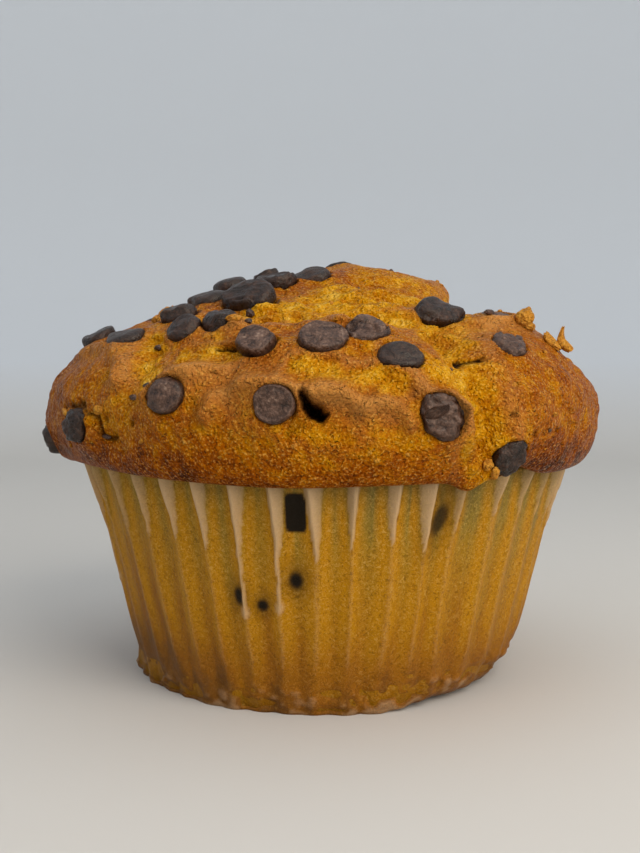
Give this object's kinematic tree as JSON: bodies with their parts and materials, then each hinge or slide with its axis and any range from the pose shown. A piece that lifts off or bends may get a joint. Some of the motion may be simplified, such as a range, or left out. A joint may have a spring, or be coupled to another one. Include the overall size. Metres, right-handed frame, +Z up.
{
  "type": "chocolate chip muffin",
  "caption": "Baked muffin with an overflowing, cracked golden-brown cap studded with chocolate chips, standing in a pleated paper baking case.",
  "frame": {"origin": "centre of the paper case's flat base, on the surface it stands on", "axes": "+Z up, -Y towards the front, +X to the front view's right"},
  "size_m": [0.0835, 0.0855, 0.0625],
  "materials": {
    "baked_crust": "baked golden-brown cake crust, open yellow crumb in the cracks",
    "greaseproof_paper": "translucent greaseproof baking paper, stained golden by the cake",
    "dark_chocolate": "dark chocolate, satin, softened and set again in baking"
  },
  "bodies": {
    "root": {"cake": "baked_crust", "chip_back_high": "dark_chocolate", "chip_back_knob": "dark_chocolate", "chip_back_left": "dark_chocolate", "chip_back_left_high": "dark_chocolate", "chip_back_left_low": "dark_chocolate", "chip_back_low": "dark_chocolate", "chip_back_middle": "dark_chocolate", "chip_back_right": "dark_chocolate", "chip_back_right_low": "dark_chocolate", "chip_case_centre": "dark_chocolate", "chip_case_left": "dark_chocolate", "chip_case_middle": "dark_chocolate", "chip_case_right": "dark_chocolate", "chip_case_upper": "dark_chocolate", "chip_cleft": "dark_chocolate", "chip_crown_dome": "dark_chocolate", "chip_crown_flat": "dark_chocolate", "chip_crown_slab": "dark_chocolate", "chip_crown_small": "dark_chocolate", "chip_front_left": "dark_chocolate", "chip_front_middle": "dark_chocolate", "chip_knob_right": "dark_chocolate", "chip_left_edge": "dark_chocolate", "chip_left_pocket": "dark_chocolate", "chip_lobe_crest": "dark_chocolate", "chip_lobe_front": "dark_chocolate", "chip_pile_back": "dark_chocolate", "chip_pile_big": "dark_chocolate", "chip_pile_drop": "dark_chocolate", "chip_pile_left": "dark_chocolate", "chip_pile_round": "dark_chocolate", "chip_pile_thick": "dark_chocolate", "chip_plate_left": "dark_chocolate", "chip_plate_middle": "dark_chocolate", "chip_plate_right": "dark_chocolate", "chip_plate_upper": "dark_chocolate", "chip_right_high": "dark_chocolate", "chip_right_low": "dark_chocolate", "chip_shoulder_far": "dark_chocolate", "chip_shoulder_near": "dark_chocolate", "chip_valley": "dark_chocolate", "paper_case": "greaseproof_paper"}
  },
  "joints": []
}
